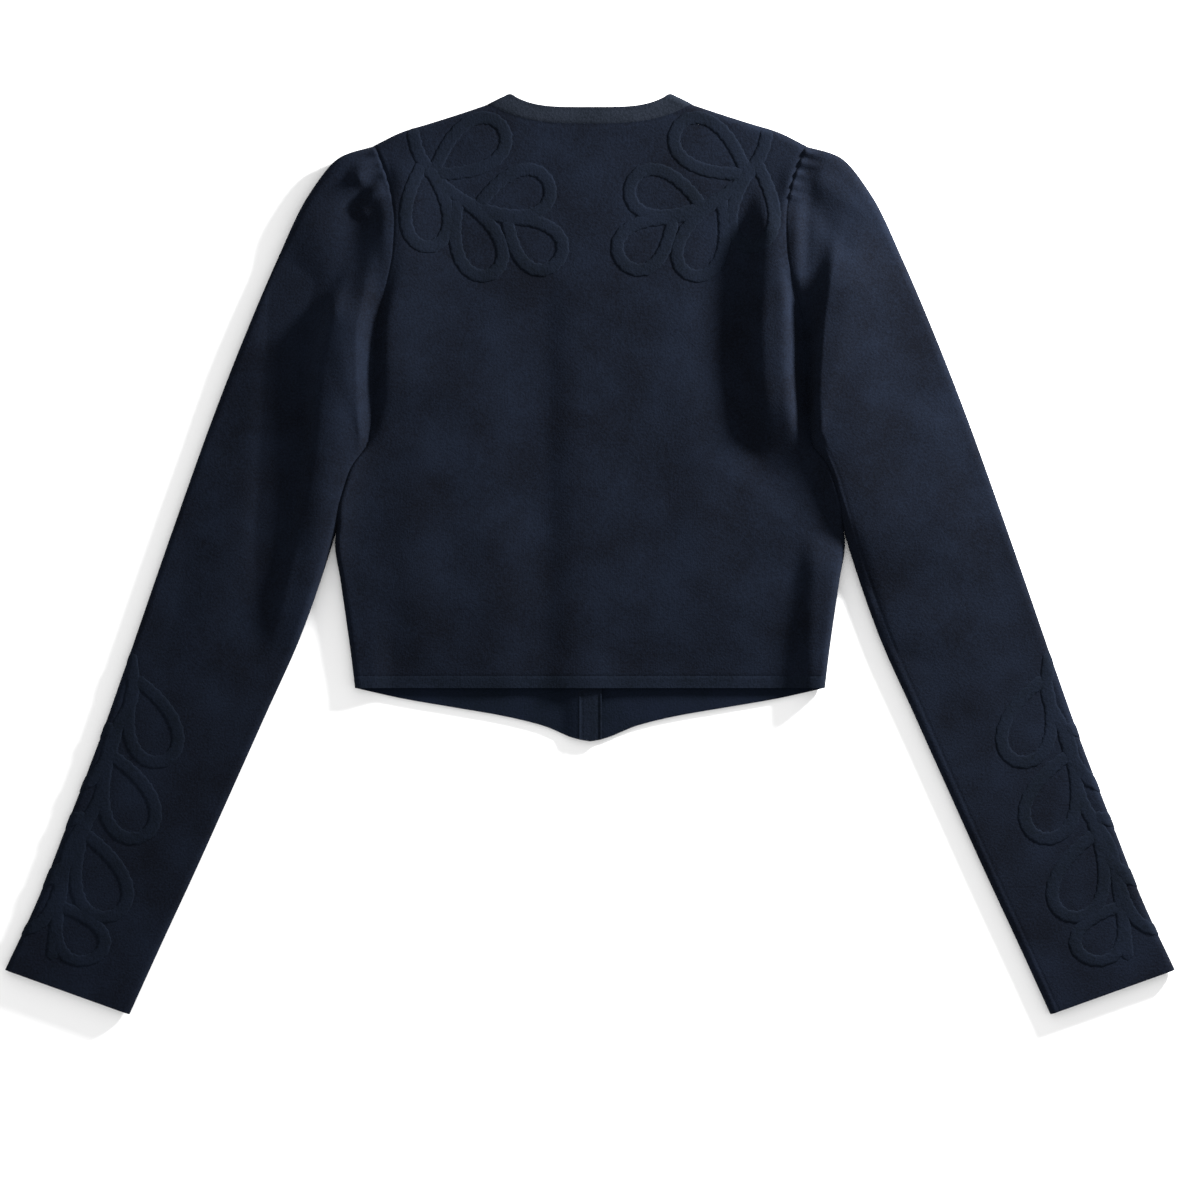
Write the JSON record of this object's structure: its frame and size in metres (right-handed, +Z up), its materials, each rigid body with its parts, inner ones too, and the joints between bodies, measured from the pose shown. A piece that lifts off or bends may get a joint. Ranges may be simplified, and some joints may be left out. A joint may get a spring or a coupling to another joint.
{
  "type": "cardigan",
  "caption": "Cropped knit cardigan laid face down, with puffed sleeve heads, a neckband, lapped front bands, a pointed front hem and raised cord leaf sprays.",
  "frame": {"origin": "on the resting plane, under the middle of the whole garment's length and width", "axes": "+Z up, out of the garment's back; +Y from the hem to the neck; +X towards the wearer's right"},
  "size_m": [0.8798, 0.6892, 0.0212],
  "materials": {
    "knit": "matte dense navy knit",
    "band": "matte navy knit band"
  },
  "bodies": {
    "root": {"back": "knit", "hem_band": "band", "front_left": "knit", "front_right": "knit", "placket_left": "band", "placket_right": "band", "neckband": "band", "sleeve_left": "knit", "sleeve_right": "knit"}
  },
  "joints": []
}
